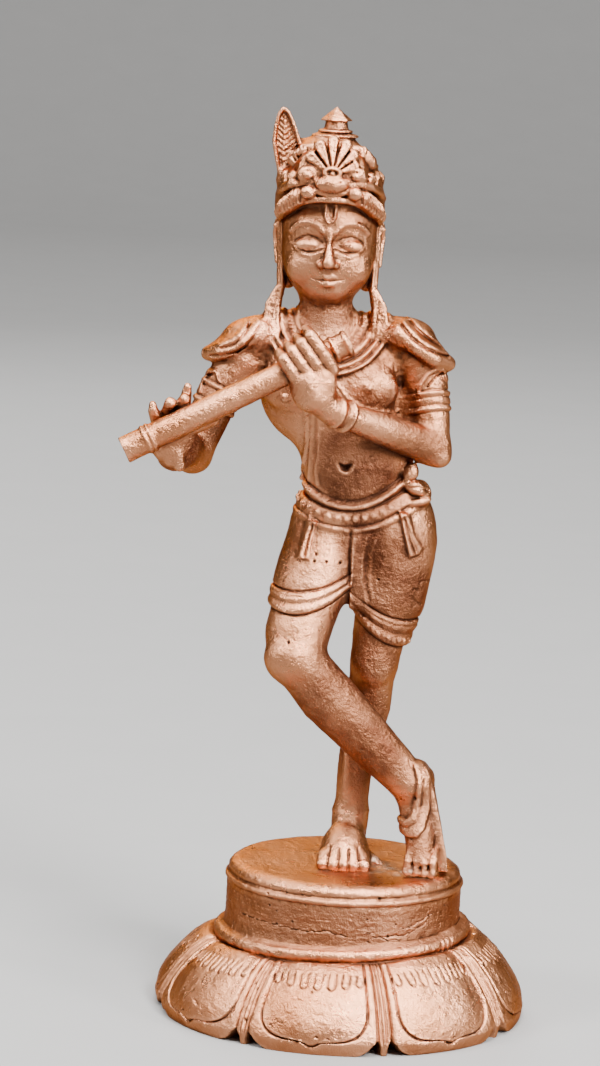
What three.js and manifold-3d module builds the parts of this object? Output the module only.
// A small cast copper figure of a flute player in the triple-bend stance, on a round lotus plinth.
// Millimetres, +Z up. The origin is the middle of the plinth's underside. The figure faces -Y.
import * as THREE from "three";
import { triTable } from "three/addons/objects/MarchingCubes.js";
import { mergeVertices } from "three/addons/utils/BufferGeometryUtils.js";
import Module from "manifold-3d";

// Driving sizes of the figure
const figureHeight = 150; // soles to the tip of the crown
const clayStep = 0.4; // cell of the clay grid, in hundredths of the figure's height
const figureTriangles = 7900;
const footReach = 14.5; // outermost toe, from the middle of the plinth

// Driving sizes of the plinth
const plinthHeight = 30;
const skirtHeight = 15.2; // underside to the roll at the foot of the drum
const rollRadius = 1.3; // half-round roll between skirt and drum
const footMargin = 1.8; // from the outermost toe to the drum's side
const skirtReach = 12.8; // from the drum's side to the field of a petal
const lipRadius = 1.6; // rounded top edge of the drum
const petalCount = 8;
const petalShare = 0.84; // of a petal's share of the circle that it covers, rim included
const petalCorner = 6; // rounding of its lower corners
const fieldRise = 0.6; // of the smooth field over the skirt
const rimWidth = 1.9; // raised border of a petal
const rimHeight = 0.75;
const tipLength = 1.6; // of the point at a petal's foot
const leafDepth = 0.5; // the ribbed leaf between two petals, below their fields
const notchDepth = 3.2; // hollows on both sides of that leaf's foot
const castLean = 1.1; // roll and shoulder of the skirt sit askew by so much, lower at -X
const ridgeRadius = 0.6; // thin ridge under the lip
const skirtStart = 0.9; // from the drum's side to the inner edge of the skirt
const skirtFoot = 2.4; // height at which the petals reach out farthest
const skirtRows = 36;
const plinthColumns = 192;
const plinthTriangles = 2000;

const wasm = await Module();
wasm.setup();

// Clay: a block of cells, each corner holding its distance to the surface, in which shapes are blended.

const clamp = (v, low, high) => Math.min(high, Math.max(low, v));
const ease = (low, high, v) => {
  const t = clamp((v - low) / (high - low), 0, 1);
  return t * t * (3 - 2 * t);
};
const bump = (v, half) => 1 - ease(0, 1, Math.abs(v) / half);

function smoothLess(a, b, blend) {
  const h = Math.max(blend - Math.abs(a - b), 0) / blend;
  return Math.min(a, b) - (h * h * blend) / 4;
}

function boxAround(points) {
  const box = new THREE.Box3();
  for (const [x, y, z, r] of points) {
    box.expandByPoint(new THREE.Vector3(x - r, y - r, z - r));
    box.expandByPoint(new THREE.Vector3(x + r, y + r, z + r));
  }
  return box;
}

// An ellipsoid, its axes turned by Euler angles in degrees.
function ball(centre, radii, turn = [0, 0, 0]) {
  const angles = turn.map((v) => THREE.MathUtils.degToRad(v));
  const m = new THREE.Matrix4().makeRotationFromEuler(new THREE.Euler(...angles)).elements;
  const [cx, cy, cz] = centre;
  const [rx, ry, rz] = radii;
  return {
    box: boxAround([[cx, cy, cz, Math.max(rx, ry, rz)]]),
    distance(x, y, z) {
      const [dx, dy, dz] = [x - cx, y - cy, z - cz];
      const u = (m[0] * dx + m[1] * dy + m[2] * dz) / rx;
      const v = (m[4] * dx + m[5] * dy + m[6] * dz) / ry;
      const w = (m[8] * dx + m[9] * dy + m[10] * dz) / rz;
      const near = Math.hypot(u, v, w);
      const slope = Math.hypot(u / rx, v / ry, w / rz);
      return slope < 1e-9 ? -Math.min(rx, ry, rz) : (near * (near - 1)) / slope;
    },
  };
}

// A rod through points [x, y, z, radius], round between them and at its ends.
function rod(points) {
  return {
    box: boxAround(points),
    distance(x, y, z) {
      let best = Infinity;
      for (let i = 1; i < points.length; i++) {
        const [ax, ay, az, ar] = points[i - 1];
        const [bx, by, bz, br] = points[i];
        const [ux, uy, uz] = [bx - ax, by - ay, bz - az];
        const [px, py, pz] = [x - ax, y - ay, z - az];
        const along = (px * ux + py * uy + pz * uz) / (ux * ux + uy * uy + uz * uz);
        const t = clamp(along, 0, 1);
        const gap = Math.hypot(px - t * ux, py - t * uy, pz - t * uz) - (ar + t * (br - ar));
        best = Math.min(best, gap);
      }
      return best;
    },
  };
}

// The shape with its surface pushed out by height(x, y, z).
const raised = (shape, height) => ({
  box: shape.box,
  distance: (x, y, z) => shape.distance(x, y, z) - height(x, y, z),
});

class Clay {
  constructor(low, high, step) {
    this.low = low;
    this.step = step;
    this.count = high.map((v, i) => Math.ceil((v - low[i]) / step) + 1);
    this.values = new Float32Array(this.count[0] * this.count[1] * this.count[2]).fill(10);
  }

  index(i, j, k) {
    return i + this.count[0] * (j + this.count[1] * k);
  }

  change(box, margin, update) {
    const first = ["x", "y", "z"].map((a, n) =>
      clamp(Math.floor((box.min[a] - margin - this.low[n]) / this.step), 0, this.count[n] - 1));
    const last = ["x", "y", "z"].map((a, n) =>
      clamp(Math.ceil((box.max[a] + margin - this.low[n]) / this.step), 0, this.count[n] - 1));
    for (let k = first[2]; k <= last[2]; k++) {
      for (let j = first[1]; j <= last[1]; j++) {
        for (let i = first[0]; i <= last[0]; i++) {
          const at = this.index(i, j, k);
          const x = this.low[0] + i * this.step;
          const y = this.low[1] + j * this.step;
          const z = this.low[2] + k * this.step;
          this.values[at] = update(this.values[at], x, y, z);
        }
      }
    }
  }

  add(shape, blend = 0.5) {
    this.change(shape.box, blend + 2 * this.step, (v, x, y, z) =>
      smoothLess(v, shape.distance(x, y, z), blend));
  }

  cut(shape, blend = 0.3) {
    this.change(shape.box, blend, (v, x, y, z) => -smoothLess(-v, shape.distance(x, y, z), blend));
  }

  raise(low, high, height) {
    const box = new THREE.Box3(new THREE.Vector3(...low), new THREE.Vector3(...high));
    this.change(box, 0, (v, x, y, z) => v - height(x, y, z));
  }
}

// A round bar from a to b with flat ends.
function bar(a, b, ra, rb) {
  const [ux, uy, uz] = [b[0] - a[0], b[1] - a[1], b[2] - a[2]];
  const length = Math.hypot(ux, uy, uz);
  return {
    box: boxAround([[...a, ra], [...b, rb]]),
    distance(x, y, z) {
      const [px, py, pz] = [x - a[0], y - a[1], z - a[2]];
      const along = (px * ux + py * uy + pz * uz) / length;
      const across = Math.sqrt(Math.max(px * px + py * py + pz * pz - along * along, 0));
      const t = clamp(along / length, 0, 1);
      return Math.max(across - (ra + t * (rb - ra)), -along, along - length);
    },
  };
}

// Distance in the front view, the X-Z plane, to a path of [x, z] points.
function pathDistance(path, x, z) {
  let best = Infinity;
  for (let i = 1; i < path.length; i++) {
    const [ax, az] = path[i - 1];
    const [bx, bz] = path[i];
    const [ux, uz] = [bx - ax, bz - az];
    const t = clamp(((x - ax) * ux + (z - az) * uz) / (ux * ux + uz * uz), 0, 1);
    best = Math.min(best, Math.hypot(x - ax - t * ux, z - az - t * uz));
  }
  return best;
}

// A strip carved on the surface along a path seen from the front, between two depths.
function strip(clay, path, half, height, depths = [-12, 0], soft = 0.35) {
  const xs = path.map((p) => p[0]);
  const zs = path.map((p) => p[1]);
  const room = half + soft;
  clay.raise(
    [Math.min(...xs) - room, depths[0], Math.min(...zs) - room],
    [Math.max(...xs) + room, depths[1], Math.max(...zs) + room],
    (x, y, z) => height * (1 - ease(half - soft, half + soft, pathDistance(path, x, z))),
  );
}

// The limb with bands round it: each is centred at a share of the way from a to b.
function banded(limb, a, b, shares, half, height) {
  const [ux, uy, uz] = [b[0] - a[0], b[1] - a[1], b[2] - a[2]];
  const length = Math.hypot(ux, uy, uz);
  return raised(limb, (x, y, z) => {
    const along = ((x - a[0]) * ux + (y - a[1]) * uy + (z - a[2]) * uz) / length;
    return height * shares.reduce((sum, share) => sum + bump(along - share * length, half), 0);
  });
}

// The pose, in hundredths of the figure's height, from the middle of the plinth's top.
// R and L are the figure's own right and left: its right side is at -X.
const pose = {
  neck: [-5.5, 0.6, 70],
  shoulderR: [-16.6, 0.6, 66.4],
  elbowR: [-22.5, -0.8, 54],
  wristR: [-23.7, -7, 56.2],
  shoulderL: [7.2, 0.6, 66.8],
  elbowL: [9, -1.8, 56.4],
  wristL: [-4.4, -10.9, 61.6],
  hipR: [-4.2, 0.3, 44.6],
  kneeR: [-7.9, -6.6, 28.6],
  ankleR: [8, -4.6, 12],
  hipL: [5, 0.6, 43.6],
  kneeL: [2.7, -0.4, 27.4],
  ankleL: [0.5, 1.6, 6.2],
  fluteLow: [-31, -12.7, 55.6],
  fluteHigh: [-2.6, -10, 70.6],
};
const faceX = -5.8;
const crownX = -5.9;
const bodyX = -5.2;

function torso(clay) {
  clay.add(ball([-4.9, 0.6, 63.4], [9.2, 5.3, 8.4]), 2);
  clay.add(ball([-4.9, 0.8, 67.6], [11.6, 3.9, 3.4]), 2.5);
  clay.add(ball([-0.8, -0.3, 54.6], [7.4, 5.1, 7.4]), 2.5);
  clay.add(ball([0.7, 0.5, 46.6], [9, 5.7, 6.4]), 2.2);
  clay.add(rod([[...pose.neck, 4.2], [-6, 0.2, 76.5, 3.2]]), 1.5);
  for (const side of [-1, 1]) {
    clay.add(rod([
      [-5.5, 1.2, 71, 2.8],
      [bodyX + side * 7.2, 0.9, 71.2, 2],
      [bodyX + side * 9.6, 0.9, 69.6, 2.4],
    ]), 1.2);
    clay.add(ball([-5 + side * 4.7, -3.4, 63.9], [4.3, 2.3, 3.1]), 1.4);
    clay.add(ball([-5.2 + side * 5.3, -5.6, 63.4], [0.5, 0.5, 0.5]), 0.4);
    clay.add(ball([0.5 + side * 4.4, 3.6, 42.6 + side * 0.5], [4.5, 3.7, 4.6]), 1.5);
    clay.add(ball([-4.6 + side * 5, 4, 66], [3.8, 1.9, 4]), 1.5);
  }
  clay.cut(ball([-2.5, -5.7, 53.6], [0.8, 1.2, 0.65]), 0.4);
}

function legs(clay) {
  const { hipR, kneeR, ankleR, hipL, kneeL, ankleL } = pose;
  clay.add(rod([[...hipR, 5.2], [-6.3, -2.6, 37, 4.8], [-7.6, -5, 31.6, 4.1]]), 1.5);
  clay.add(rod([[-7.7, -5, 31.6, 4], [...kneeR, 3.7]]), 1);
  clay.add(ball([-9, -7.4, 28.4], [2.8, 2.4, 2.8]), 1);
  clay.add(rod([[...kneeR, 3.4], [-3.4, -5.3, 23.2, 3.8], [2.2, -4.7, 17.6, 3.3], [...ankleR, 2.7]]), 1);
  clay.add(rod([[...hipL, 5.2], [4.3, 0.2, 36, 4.5], [3.2, -0.2, 31, 3.6], [...kneeL, 3.1]]), 1.5);
  clay.add(ball([2.6, -2.2, 27.2], [2.2, 1.8, 2.6]), 1);
  clay.add(rod([[...kneeL, 2.9], [2.1, 1.6, 21, 3.1], [0.8, 1.6, 12.6, 2.3], [...ankleL, 2.2]]), 1);
}

function feet(clay) {
  const { ankleR, ankleL } = pose;
  // The standing foot points to the viewer.
  clay.add(rod([[...ankleL, 2.2], [0.6, 3.2, 2, 2.1]]), 1);
  clay.add(rod([[0.3, 1.6, 5.4, 2.5], [-0.2, -1.8, 3, 2.4], [-0.4, -4.2, 1.5, 1.6]]), 1);
  clay.add(ball([-0.5, -3.2, 1.4], [3.3, 3.2, 1.9]), 1);
  for (let toe = 0; toe < 5; toe++) {
    const x = -2.9 + toe * 1.45;
    const size = toe === 4 ? 0.95 : 0.72;
    const reach = -6.1 - Math.sin((toe / 4) * Math.PI) * 0.9 - (toe === 4 ? 0.4 : 0);
    clay.add(rod([[x * 0.8, -3.6, 1.2, size], [x, reach, 0.75, size]]), 0.3);
  }
  // The crossing foot stands on its toes, its sole turned away from the other leg.
  clay.add(rod([[...ankleR, 2.3], [9.6, -2.6, 12.2, 1.7]]), 1);
  clay.add(rod([[8.8, -4.2, 9.6, 2.3], [9.6, -6, 5.2, 2], [9.9, -7, 2, 1.7]]), 1);
  clay.add(rod([[10, -2.5, 12.6, 1.1], [11.5, -4.2, 7, 1], [12.6, -5.6, 1.6, 1]]), 0.8);
  for (let toe = 0; toe < 4; toe++) {
    const x = 8.1 + toe * 1.05;
    clay.add(rod([[x + 0.4, -6.6, 3.6, 0.65], [x, -8 - toe * 0.25, 0.7, 0.68]]), 0.25);
  }
}

function arms(clay) {
  const { shoulderR, elbowR, wristR, shoulderL, elbowL, wristL } = pose;
  const upperR = rod([[...shoulderR, 3.3], [-20, -0.2, 60.6, 2.8], [...elbowR, 2.4]]);
  clay.add(banded(upperR, shoulderR, elbowR, [0.3, 0.52], 0.5, 0.3), 1.2);
  clay.add(rod([[...elbowR, 2.3], [...wristR, 2]]), 1);
  const upperL = rod([[...shoulderL, 3.2], [8.4, -0.4, 62, 2.6], [...elbowL, 2.3]]);
  clay.add(banded(upperL, shoulderL, elbowL, [0.34, 0.58], 0.5, 0.3), 1.2);
  const foreL = rod([[...elbowL, 2.3], [3, -6, 58.8, 2.2], [...wristL, 1.6]]);
  clay.add(banded(foreL, elbowL, wristL, [0.9, 0.99], 0.5, 0.45), 0.8);
  clay.add(ball([10, -2.4, 55.2], [1.4, 1.6, 1.3]), 0.8);
  clay.add(rod([[5.4, 0.6, 62, 2.2], [6.6, 0.2, 57.4, 1.8]]), 1.2);
}

function flute(clay) {
  const { fluteLow, fluteHigh } = pose;
  const tube = bar(fluteLow, fluteHigh, 1.75, 1.6);
  clay.add(banded(tube, fluteLow, fluteHigh, [0.1, 0.86, 0.9], 0.5, 0.22), 0.2);
}

function hands(clay) {
  const { wristR, wristL } = pose;
  // Left hand: the back of the hand faces the viewer and four fingers lie side by side on the flute.
  clay.add(rod([[...wristL, 1.7], [-7, -12.2, 63.6, 2], [-8, -12.4, 65.4, 1.8]]), 1);
  clay.add(ball([-7, -12.3, 65], [2.9, 1.5, 3.4], [0, 20, 0]), 0.8);
  for (let finger = 0; finger < 4; finger++) {
    const x = -9.4 + finger * 1.12;
    const z = 65.9 + finger * 1.05;
    clay.add(rod([
      [x + 0.6, -12.7, z - 0.8, 0.95],
      [x - 0.6, -13.2, z + 1, 0.88],
      [x - 1.7, -12.6, z + 2.5, 0.8],
      [x - 2.1, -11.4, z + 2.9, 0.7],
    ]), 0.25);
  }
  clay.add(rod([[-5, -10.6, 63.6, 1], [-5.4, -8.9, 66.6, 0.9], [-7, -8.4, 68.6, 0.75]]), 0.5);
  // Right hand: the palm is below and behind the flute, the finger ends rest on top of it.
  clay.add(rod([[...wristR, 2], [-24.4, -9, 58.2, 2.1]]), 1);
  clay.add(ball([-25.2, -8.9, 57.3], [2.9, 1.9, 3.8]), 0.8);
  clay.add(ball([-24.6, -6.6, 54.6], [2.4, 2.2, 2.2]), 1.2);
  clay.add(rod([[-27, -9.6, 59.4, 0.9], [-27.6, -10.2, 61, 0.75], [-27.7, -10.4, 61.8, 0.4]]), 0.3);
  clay.add(rod([[-25.7, -9.8, 60.6, 0.8], [-25.3, -11.3, 61.8, 0.8]]), 0.3);
  clay.add(rod([[-24.4, -9.8, 60.9, 0.8], [-23.5, -11.3, 62.4, 0.75]]), 0.3);
  clay.add(rod([[-23.6, -9.6, 61, 0.85], [-23.3, -10.4, 63.6, 0.65], [-23.2, -10.7, 64.6, 0.4]]), 0.3);
  clay.add(rod([[-22.6, -9, 58.4, 1], [-19.6, -10.6, 59.8, 0.7]]), 0.4);
}

function head(clay) {
  clay.add(ball([faceX, 0.8, 84], [6.2, 6.8, 7.4]), 1);
  clay.add(ball([faceX, -1.1, 80.6], [5.9, 5.3, 5.8]), 1.5);
  clay.add(ball([faceX, -3.6, 76.9], [2.4, 2, 1.7]), 1.6);
  clay.add(rod([[faceX, -5.9, 83.4, 0.5], [faceX, -7, 80.3, 0.8]]), 0.6);
  clay.add(ball([faceX, 4.4, 80], [5.2, 3.4, 6]), 1.5);
  for (const side of [-1, 1]) {
    const at = (dx, y, z, r) => [faceX + side * dx, y, z, r];
    clay.add(ball([faceX + side * 3.1, -3.6, 79.4], [2.1, 1.9, 2]), 1.2);
    clay.cut(ball([faceX + side * 2.5, -6.9, 82.6], [1.9, 1.3, 1]), 0.9);
    clay.add(ball([faceX + side * 2.5, -4.7, 82.3], [1.8, 1.4, 0.95]), 0.3);
    clay.add(rod([at(0.8, -6, 84.2, 0.4), at(2.6, -5.9, 85.1, 0.45), at(4.6, -4.6, 84.3, 0.35)]), 0.4);
    clay.add(ball([faceX + side * 0.9, -6.3, 79.9], [0.6, 0.7, 0.5]), 0.4);
    clay.add(rod([at(0, -5.7, 78.2, 0.45), at(1.8, -5.3, 78.4, 0.3)]), 0.3);
    clay.add(rod([at(0, -5.5, 77.2, 0.55), at(1.4, -5.2, 77.6, 0.3)]), 0.3);
    clay.add(ball([faceX + side * 6.1, 1, 82.4], [0.8, 1.6, 2.6]), 0.4);
    clay.add(rod([at(6.6, 0.6, 86, 0.6), at(6.9, 0.2, 80, 0.65), at(7.1, -0.4, 75.6, 0.65)]), 0.4);
    clay.add(ball([faceX + side * 7.2, -0.6, 74.2], [1, 1.1, 1.2]), 0.5);
    clay.add(rod([at(7.2, -0.4, 73.6, 0.9), at(7.2, -0.4, 71, 1.4)]), 0.6);
    clay.add(rod([at(0.45, -6, 87.6, 0.25), at(0.4, -6.1, 85.4, 0.25), at(0, -6.1, 84.8, 0.25)]), 0.15);
  }
}

function crown(clay) {
  clay.add(ball([crownX, 0.6, 87.4], [7.2, 7.6, 8.8]), 0.8);
  clay.add(ball([crownX, -4.4, 91.8], [4.8, 3.2, 4]), 1.2);
  clay.add(bar([-5.8, 0.3, 94.6], [-5.5, 0.3, 96.8], 5, 2.6), 0.6);
  clay.add(bar([-5.5, 0.3, 96], [-5.5, 0.3, 98.6], 1.6, 1.45), 0.4);
  clay.add(bar([-5.6, 0.3, 98.1], [-5.5, 0.3, 100], 2.3, 0.2), 0.15);
  // Fan of leaves above the forehead
  for (let leaf = -3; leaf <= 3; leaf++) {
    const angle = leaf * 0.45;
    const length = 3.9 - Math.abs(leaf) * 0.2;
    const [sx, sz] = [Math.sin(angle), Math.cos(angle)];
    clay.add(rod([
      [faceX + sx * 0.9, -7.6, 91.9 + sz * 0.9, 0.3],
      [faceX + sx * length * 0.6, -7.5 + 0.4 * sz, 91.9 + sz * length * 0.6, 0.5],
      [faceX + sx * length, -6.6 + 0.9 * sz, 91.9 + sz * length, 0.62],
    ]), 0.15);
  }
  clay.add(ball([faceX, -8, 91.7], [1.1, 0.7, 0.9]), 0.3);
  clay.cut(ball([faceX, -8.7, 91.7], [0.6, 0.5, 0.42]), 0.2);
  clay.add(ball([faceX, -8.1, 91.7], [0.42, 0.35, 0.3]), 0.1);
  for (const side of [-1, 1]) {
    const at = (dx, y, z, r) => [faceX + side * dx, y, z, r];
    clay.add(rod([at(0, -8.3, 89.9, 1), at(1.5, -8.1, 90.3, 0.85), at(2.6, -7.6, 91.4, 0.6)]), 0.3);
    clay.add(ball([faceX + side * 4.1, -6.5, 91.4], [1.3, 0.9, 1.2]), 0.3);
    clay.add(ball([faceX + side * 4.1, -7.3, 91.4], [0.5, 0.4, 0.5]), 0.2);
    clay.add(rod([at(0, -7.6, 88.4, 0.5), at(2, -7.2, 88.8, 0.5)]), 0.4);
    clay.add(rod([
      at(1.9, -7, 89.4, 0.85),
      at(4.1, -6.1, 89.2, 1),
      at(5.9, -4, 88, 0.95),
      at(6.8, -0.6, 86.7, 0.8),
      at(5.2, 4.6, 85.8, 0.8),
      at(0, 7.2, 85.6, 0.8),
    ]), 0.4);
    clay.add(rod([at(4.9, -5.4, 91.2, 0.7), at(6.5, -2, 90.3, 0.65), at(6.8, 1.4, 89.6, 0.5)]), 0.4);
    clay.add(rod([at(2.4, -3.8, 95, 0.5), at(3.8, -3.2, 94.5, 0.6), at(4.8, -2.4, 93.4, 0.55)]), 0.3);
  }
  // Feather on the figure's right
  clay.add(ball([-12.2, -0.4, 94.5], [1.5, 0.9, 5.6], [0, -3, 0]), 0.4);
  clay.add(rod([[-12, -0.2, 90.4, 1], [-11.2, 0, 93.6, 1.2], [-9.6, 0.2, 95, 1.1]]), 0.6);
  clay.cut(ball([-12.1, -1.5, 95.4], [0.8, 0.7, 3.8], [0, -3, 0]), 0.2);
}

// The cloth over a shoulder: a pad and folds that run out to a point beyond the arm.
function shoulderCloth(clay, side, lift) {
  const at = (dx, y, z, r) => [bodyX + side * dx, y, z, r];
  clay.add(ball([bodyX + side * 9.8, 0.6, 70.2 + lift], [4, 4, 2.4]), 1);
  clay.add(ball([bodyX + side * 12.1, 0.5, 69.5 + lift / 2], [4.4, 3.9, 1.7], [0, side * 34, 0]), 0.8);
  for (const depth of [-1, 1]) {
    const y = (v) => 0.5 + depth * v;
    clay.add(rod([
      at(8.8, y(3.2), 71.4, 0.6),
      at(11.6, y(4.5), 69.4, 0.8),
      at(14.4, y(3.2), 67.7, 0.75),
      at(16.1, y(0.8), 67.2, 0.55),
    ]), 0.4);
    clay.add(rod([
      at(8.4, y(1.8), 72.3, 0.5),
      at(12.2, y(3.2), 70.5 + lift / 2, 0.7),
      at(15.4, y(1.6), 68.2, 0.55),
    ]), 0.35);
  }
}

// Three strands of the garland round the neck, and the fine necklace inside it
function collar(clay) {
  const centre = [-5.6, 72.8];
  clay.raise([-16, -10, 62], [5, 7, 75], (x, y, z) => {
    const tall = y < 0.5 ? 7.4 : 4.6;
    const out = Math.hypot((x - centre[0]) / 8.6, (z - centre[1]) / tall);
    const strands = [0.64, 0.79, 0.94].reduce((sum, share) => sum + bump((out - share) * 8, 0.75), 0);
    return 0.3 * ease(0.5, 0.58, out) * (1 - ease(1, 1.05, out)) + 0.4 * strands;
  });
}

// Height of the belt's middle line: it sags in front and is level behind.
function beltLine(x, y, low, sag) {
  const front = low + sag * (x + 2.4) ** 2 + 0.08 * x;
  const back = low + 3.4 + 0.12 * x;
  return front + (back - front) * ease(-1, 3, y);
}

function belts(clay) {
  const low = [-11.5, -9, 42];
  const high = [11.5, 9, 57];
  clay.raise(low, high, (x, y, z) => 0.5 * bump(z - beltLine(x, y, 48.8, 0.05), 0.9));
  clay.raise(low, high, (x, y, z) => 0.65 * bump(z - beltLine(x, y, 46.9, 0.04), 1.2));
  clay.raise(low, high, (x, y, z) => 0.4 * bump(z - beltLine(x, y, 45, 0.035), 0.8));
  clay.add(rod([[5.4, -2.6, 53.4, 0.8], [6.4, -2.6, 52.2, 1.3], [7.9, -1.8, 50.4, 1]]), 0.8);
}

function loincloth(clay) {
  const hemR = (x) => 34.3 + 0.3 * (x + 6.5);
  const hemL = (x) => 30.4 - 0.42 * (x - 3.8);
  const cloth = (above) => 0.35 * ease(-0.25, 0.1, above) + 0.35 * bump(above - 0.7, 0.7) +
    0.35 * bump(above - 2, 0.7);
  clay.raise([-14, -13, 28], [-0.9, 7, 45], (x, y, z) =>
    cloth(z - hemR(x)) * (1 - ease(38, 45, z)));
  clay.raise([-0.9, -8, 24], [12, 8, 45], (x, y, z) =>
    cloth(z - hemL(x)) * (1 - ease(38, 45, z)));
  strip(clay, [[-7, 46.4], [-7.8, 41.8]], 0.75, 0.5, [-10, -1]);
  strip(clay, [[5.6, 48.2], [6.4, 44.6], [7.5, 42.6]], 0.8, 0.55, [-10, -1]);
  clay.add(rod([[-0.9, -4.6, 44, 0.8], [-0.3, -3.8, 39, 0.9], [0, -2.9, 35.6, 1]]), 0.6);
}

// The strap over the left shoulder and the two threads that hang down the belly
function straps(clay) {
  strip(clay, [[-4.4, 64.5], [-2.9, 62.7], [0.5, 61.1], [3, 60.7]], 0.6, 0.4, [-8, -3]);
  strip(clay, [[-6.6, 61], [-6.6, 55], [-7, 50]], 0.45, 0.35, [-8, -2]);
  strip(clay, [[-5.3, 61], [-5.3, 55], [-5.7, 49.4]], 0.45, 0.35, [-8, -2]);
}

function modelFigure() {
  const clay = new Clay([-34, -17, -2], [18, 11, 102], clayStep);
  torso(clay);
  legs(clay);
  straps(clay);
  collar(clay);
  loincloth(clay);
  belts(clay);
  feet(clay);
  head(clay);
  crown(clay);
  arms(clay);
  shoulderCloth(clay, -1, -0.3);
  shoulderCloth(clay, 1, 0.6);
  flute(clay);
  hands(clay);
  return clay;
}

// Marching cubes: the clay's surface as merged points and triangles, their faces pointing out.
const square = [[0, 0], [1, 0], [1, 1], [0, 1]];
const cubeCorners = [0, 1].flatMap((k) => square.map(([i, j]) => [i, j, k]));
const cubeEdges = [
  ...[0, 1, 2, 3].map((n) => [n, (n + 1) % 4]),
  ...[0, 1, 2, 3].map((n) => [n + 4, ((n + 1) % 4) + 4]),
  ...[0, 1, 2, 3].map((n) => [n, n + 4]),
];

function surfaceOf({ low, step, count, values }) {
  const points = [];
  const triangles = [];
  const known = new Map();
  const jumps = cubeCorners.map(([i, j, k]) => i + count[0] * (j + count[1] * k));
  const place = (at, corner) => [
    (at % count[0]) + cubeCorners[corner][0],
    (Math.floor(at / count[0]) % count[1]) + cubeCorners[corner][1],
    Math.floor(at / (count[0] * count[1])) + cubeCorners[corner][2],
  ];
  const crossing = (at, edge) => {
    const [a, b] = cubeEdges[edge];
    const [from, to] = [at + jumps[a], at + jumps[b]];
    const key = Math.min(from, to) * values.length + Math.max(from, to);
    if (!known.has(key)) {
      const t = clamp(values[from] / (values[from] - values[to]), 0.02, 0.98);
      const [start, end] = [place(at, a), place(at, b)];
      known.set(key, points.length);
      points.push(start.map((v, n) => low[n] + (v + t * (end[n] - v)) * step));
    }
    return known.get(key);
  };
  for (let at = 0; at < values.length - jumps[6]; at++) {
    let code = 0;
    for (let n = 0; n < 8; n++) {
      if (values[at + jumps[n]] < 0) code |= 1 << n;
    }
    if (code === 0 || code === 255) continue;
    for (let n = code * 16; triTable[n] !== -1; n += 3) {
      triangles.push([n + 2, n + 1, n].map((entry) => crossing(at, triTable[entry])));
    }
  }
  return { points, triangles };
}

class Heap {
  items = [];

  push(item) {
    const { items } = this;
    let at = items.push(item) - 1;
    while (at > 0) {
      const up = (at - 1) >> 1;
      if (items[up].cost <= item.cost) break;
      items[at] = items[up];
      at = up;
    }
    items[at] = item;
  }

  pop() {
    const { items } = this;
    const top = items[0];
    const last = items.pop();
    if (items.length === 0) return top;
    let at = 0;
    for (;;) {
      let next = 2 * at + 1;
      if (next >= items.length) break;
      if (next + 1 < items.length && items[next + 1].cost < items[next].cost) next++;
      if (items[next].cost >= last.cost) break;
      items[at] = items[next];
      at = next;
    }
    items[at] = last;
    return top;
  }
}

const minus = (a, b) => [a[0] - b[0], a[1] - b[1], a[2] - b[2]];
const dot = (a, b) => a[0] * b[0] + a[1] * b[1] + a[2] * b[2];
const cross = (a, b) => [a[1] * b[2] - a[2] * b[1], a[2] * b[0] - a[0] * b[2], a[0] * b[1] - a[1] * b[0]];
const size = (a) => Math.sqrt(dot(a, a));

// A quadric sums the squared distances to planes: x^2, xy, xz, y^2, yz, z^2, x, y, z and 1.
function addQuadric(sum, q) {
  for (let i = 0; i < 10; i++) sum[i] += q[i];
  return sum;
}

function planeQuadric([x, y, z], d, weight) {
  return [x * x, x * y, x * z, y * y, y * z, z * z, x * d, y * d, z * d, d * d].map((v) => v * weight);
}

function quadricError(q, [x, y, z]) {
  const square = q[0] * x * x + q[3] * y * y + q[5] * z * z;
  const mixed = q[1] * x * y + q[2] * x * z + q[4] * y * z;
  return square + 2 * (mixed + q[6] * x + q[7] * y + q[8] * z) + q[9];
}

// The point of least error, or `near` where the quadric has no such point close by.
function quadricCentre(q, near, reach) {
  const first = [q[0], q[1], q[2]];
  const second = [q[1], q[3], q[4]];
  const third = [q[2], q[4], q[5]];
  const right = [-q[6], -q[7], -q[8]];
  const side = cross(second, third);
  const volume = dot(first, side);
  if (Math.abs(volume) < 1e-5 * (q[0] + q[3] + q[5]) ** 3) return near;
  const x = dot(right, side) / volume;
  const y = dot(first, cross(right, third)) / volume;
  const z = dot(first, cross(second, right)) / volume;
  return Math.hypot(x - near[0], y - near[1], z - near[2]) < reach ? [x, y, z] : near;
}

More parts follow.
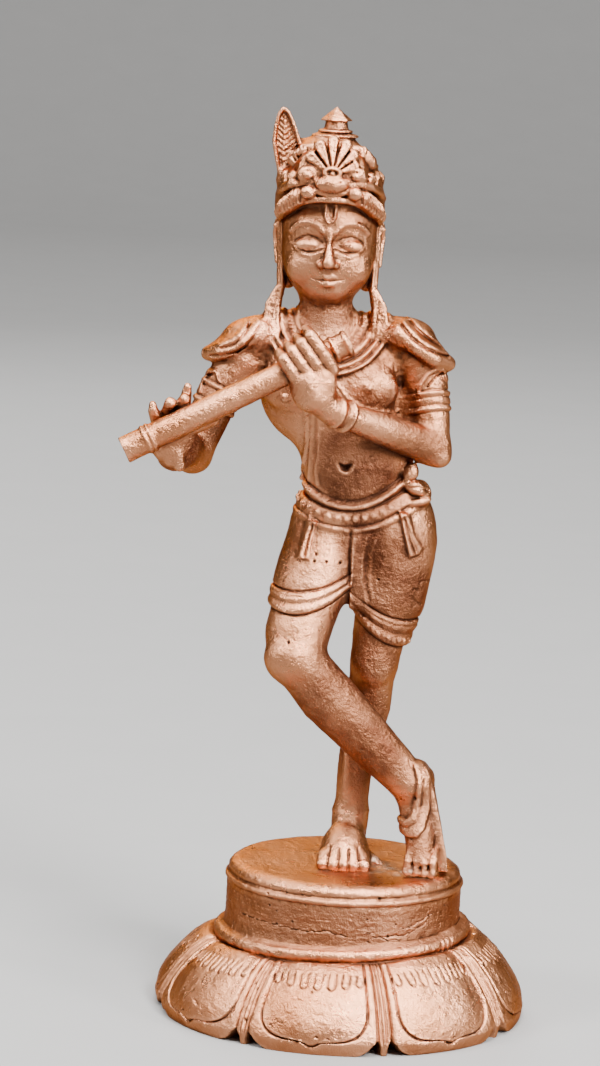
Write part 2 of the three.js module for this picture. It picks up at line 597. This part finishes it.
// Folds away the flattest edges, by quadric error, until only so many triangles are left.
// `interest` weighs a place: the larger it is, the finer the surface stays there.
function simplify({ points, triangles }, target, interest = () => 1) {
  const quadrics = points.map(() => new Float64Array(10));
  const around = points.map(() => []);
  const joint = new Float64Array(10);
  const age = new Int32Array(points.length);
  const heap = new Heap();
  const normalOf = ([a, b, c]) => cross(minus(b, a), minus(c, a));

  triangles.forEach((triangle, t) => {
    const places = triangle.map((p) => points[p]);
    const normal = normalOf(places);
    const twice = size(normal) || 1e-12;
    const unit = normal.map((v) => v / twice);
    const quadric = planeQuadric(unit, -dot(unit, places[0]), twice * interest(places[0]));
    for (const p of triangle) {
      around[p].push(t);
      addQuadric(quadrics[p], quadric);
    }
  });

  const neighbours = (p) => {
    const found = [];
    for (const t of around[p]) {
      for (const n of triangles[t]) {
        if (n !== p && !found.includes(n)) found.push(n);
      }
    }
    return found;
  };

  const offer = (a, b) => {
    joint.set(quadrics[a]);
    addQuadric(joint, quadrics[b]);
    const [p, q] = [points[a], points[b]];
    const length = size(minus(p, q));
    const place = quadricCentre(joint, [(p[0] + q[0]) / 2, (p[1] + q[1]) / 2, (p[2] + q[2]) / 2], length);
    const cost = quadricError(joint, place) + 1e-7 * length ** 2;
    heap.push({ cost, a, b, place, stamp: age[a] + age[b] });
  };

  const spoils = (p, other, place) => {
    for (const t of around[p]) {
      const triangle = triangles[t];
      if (triangle.includes(other)) continue;
      const moved = triangle.map((n) => (n === p ? place : points[n]));
      const before = normalOf(triangle.map((n) => points[n]));
      const after = normalOf(moved);
      if (dot(before, after) < 0.3 * size(before) * size(after)) return true;
      const longest = Math.max(...moved.map((v, n) => size(minus(v, moved[(n + 1) % 3]))));
      if (size(after) < 0.04 * longest ** 2) return true;
    }
    return false;
  };

  points.forEach((_, p) => {
    for (const n of neighbours(p)) {
      if (n > p) offer(p, n);
    }
  });
  let left = triangles.length;
  while (left > target && heap.items.length > 0) {
    const { a, b, place, stamp } = heap.pop();
    if (age[a] < 0 || age[b] < 0 || stamp !== age[a] + age[b]) continue;
    const ring = neighbours(a);
    const shared = neighbours(b).filter((n) => ring.includes(n));
    if (shared.length !== 2 || spoils(a, b, place) || spoils(b, a, place)) continue;
    points[a] = place;
    addQuadric(quadrics[a], quadrics[b]);
    for (const t of around[b]) {
      if (triangles[t].includes(a)) {
        for (const n of triangles[t]) {
          if (n !== b) around[n].splice(around[n].indexOf(t), 1);
        }
        triangles[t] = null;
        left--;
      } else {
        triangles[t] = triangles[t].map((n) => (n === b ? a : n));
        around[a].push(t);
      }
    }
    age[b] = -1e9;
    age[a]++;
    for (const n of neighbours(a)) offer(a, n);
  }
  return { points, triangles: triangles.filter((t) => t !== null) };
}

function toGeometry({ points, triangles }, scale = 1) {
  const used = new Map();
  const positions = [];
  const index = triangles.flat().map((p) => {
    if (!used.has(p)) {
      used.set(p, used.size);
      positions.push(...points[p].map((v) => v * scale));
    }
    return used.get(p);
  });
  const geometry = new THREE.BufferGeometry();
  geometry.setAttribute("position", new THREE.Float32BufferAttribute(positions, 3));
  geometry.setIndex(index);
  return geometry;
}

function toManifold(geometry) {
  const bare = geometry.clone();
  bare.deleteAttribute("normal");
  bare.deleteAttribute("uv");
  const merged = mergeVertices(bare, 1e-5);
  return new wasm.Manifold(new wasm.Mesh({
    numProp: 3,
    vertProperties: new Float32Array(merged.attributes.position.array),
    triVerts: new Uint32Array(merged.index.array),
  }));
}

function fromManifold(solid) {
  const mesh = solid.getMesh();
  const geometry = new THREE.BufferGeometry();
  geometry.setAttribute("position", new THREE.BufferAttribute(mesh.vertProperties, 3));
  geometry.setIndex(new THREE.BufferAttribute(mesh.triVerts, 1));
  geometry.computeVertexNormals();
  return geometry;
}

// Finely carved places count for more than plain limbs and the back.
function carvingInterest([x, y, z]) {
  const inFace = Math.abs(x - faceX) < 5.5 && y < -3.5;
  if (z > 88) return y < -2 ? 5 : 1;
  if (z > 74) return inFace ? 30 : 1.5;
  if (y < -9) return 7;
  if (z < 3) return 3;
  if (y > 1) return 0.25;
  return z > 42 ? 3.5 : 1;
}

// The figure stands on flat soles: whatever reaches below the plinth's top is cut away.
function standingFigure() {
  const surface = simplify(surfaceOf(modelFigure()), figureTriangles, carvingInterest);
  const figure = toManifold(toGeometry(surface, figureHeight / 100));
  const below = new THREE.BoxGeometry(figureHeight, figureHeight, figureHeight);
  below.translate(0, 0, -figureHeight / 2);
  return fromManifold(figure.subtract(toManifold(below)));
}

// Plinth

const unit = figureHeight / 100;
const drumRadius = footReach * unit + footMargin;
const skirtRadius = drumRadius + skirtReach;
const petalTurn = THREE.MathUtils.degToRad(-8.7);
const skirtLength = Math.hypot(skirtReach, skirtHeight - skirtFoot) * 1.1 + skirtFoot;
const browShare = 1 - skirtFoot / skirtLength;

// Points [radius, height] along an arc, its angles in degrees from straight up.
function arcPoints(radius, height, bend, from, to, steps) {
  return Array.from({ length: steps + 1 }, (_, i) => {
    const angle = THREE.MathUtils.degToRad(from + (i / steps) * (to - from));
    return [radius + bend * Math.sin(angle), height + bend * Math.cos(angle)];
  });
}

// Half section of the drum, from the edge of its top down to the roll.
function drumProfile() {
  const rollTop = skirtHeight + 2 * rollRadius;
  return {
    straight: [
      ...arcPoints(drumRadius - 0.3 - lipRadius, plinthHeight - lipRadius, lipRadius, 0, 110, 6),
      ...arcPoints(drumRadius - 0.2, plinthHeight - 2 * lipRadius, ridgeRadius, 20, 160, 4),
      [drumRadius, rollTop + 1.2],
    ],
    leaning: [
      [drumRadius + 0.3, rollTop + 0.3],
      ...arcPoints(drumRadius + skirtStart, skirtHeight + rollRadius, rollRadius, 20, 170, 6),
    ],
  };
}

// How far the skirt's surface stands out at `across` (-1 to 1 over a petal's share of the circle)
// and `down` (0 at the shoulder, 1 at the lower edge).
function petalRelief(across, down) {
  const share = (Math.PI / petalCount) * skirtRadius;
  const side = (petalShare - Math.abs(across)) * share;
  const foot = (1 - down) * skirtLength + 0.5;
  const inside = smoothLess(side, foot, petalCorner);
  const tip = tipLength * Math.exp(-((across / 0.14) ** 2)) * ease(0.6, 0.9, down);
  const border = rimWidth * (1 + 0.3 * ease(0.5, 0.8, down)) - tip;
  const rim = rimHeight * ease(-0.4, 0.4, inside) * (1 - ease(border - 0.4, border + 0.3, inside));
  const field = fieldRise * ease(border, border + petalCorner, inside);
  const leafHalf = 1.1 * (1 - petalShare) * share * (1 - 0.75 * ease(0.75, 1, down));
  const fromLeaf = (1 - Math.abs(across)) * share - leafHalf;
  const hollow = notchDepth * ease(0.78, 0.95, down) * ease(-0.3, 0.9, fromLeaf);
  const outside = (1 - ease(-1, 0.2, inside)) * (leafDepth + hollow);
  return rim + field - outside;
}

// One ring of the skirt: `down` runs from 0 at the shoulder to 1 at the lower edge. Below the brow
// the skirt falls straight down.
function skirtRow(down) {
  const angle = Math.min(down / browShare, 1) * (Math.PI / 2);
  const out = Math.sin(angle) ** 1.2;
  const up = Math.cos(angle) ** 1.6;
  const below = Math.max(down - browShare, 0) / (1 - browShare);
  return (turn) => {
    const share = (2 * Math.PI) / petalCount;
    const across = 2 * ((((turn - petalTurn) / share) % 1 + 1.5) % 1 - 0.5);
    const relief = petalRelief(across, down) * ease(0.1, 0.35, down);
    const radius = drumRadius + skirtStart + (skirtReach - skirtStart) * out + relief * Math.sin(angle);
    const height = skirtFoot * (1 - below) + (skirtHeight - skirtFoot) * up;
    return [radius - 0.5 * below, height + castLean * Math.sin(turn) * up + relief * Math.cos(angle)];
  };
}

function plinthSurface() {
  const { straight, leaning } = drumProfile();
  const rows = straight.map((point) => () => point);
  for (const [radius, height] of leaning) {
    rows.push((turn) => [radius, height + castLean * Math.sin(turn)]);
  }
  for (let step = 0; step <= skirtRows; step++) rows.push(skirtRow(step / skirtRows));
  const points = [[0, 0, plinthHeight]];
  const triangles = [];
  for (const row of rows) {
    for (let i = 0; i < plinthColumns; i++) {
      const turn = (i / plinthColumns) * 2 * Math.PI;
      const [radius, height] = row(turn);
      points.push([radius * Math.sin(turn), -radius * Math.cos(turn), height]);
    }
  }
  points.push([0, 0, 0]);
  const at = (row, column) => 1 + row * plinthColumns + (column % plinthColumns);
  for (let i = 0; i < plinthColumns; i++) {
    triangles.push([0, at(0, i), at(0, i + 1)]);
    for (let row = 1; row < rows.length; row++) {
      triangles.push([at(row - 1, i), at(row, i), at(row, i + 1)]);
      triangles.push([at(row - 1, i), at(row, i + 1), at(row - 1, i + 1)]);
    }
    triangles.push([at(rows.length - 1, i), points.length - 1, at(rows.length - 1, i + 1)]);
  }
  return { points, triangles };
}

function lotusPlinth() {
  const drumInterest = ([, , z]) => (z > skirtHeight + castLean ? 4 : 1);
  const surface = simplify(plinthSurface(), plinthTriangles, drumInterest);
  for (const point of surface.points) {
    for (const level of [0, plinthHeight]) {
      if (Math.abs(point[2] - level) < 1e-3) point[2] = level;
    }
  }
  const geometry = toGeometry(surface);
  geometry.computeVertexNormals();
  return geometry;
}

const copper = new THREE.MeshStandardMaterial({ color: 0xb87050, roughness: 0.38, metalness: 1 });

const group = new THREE.Group();
const figure = new THREE.Mesh(standingFigure(), copper.clone());
figure.name = "krishna_figure";
figure.position.z = plinthHeight;
const plinth = new THREE.Mesh(lotusPlinth(), copper.clone());
plinth.name = "lotus_plinth";
group.add(figure, plinth);

export default group;
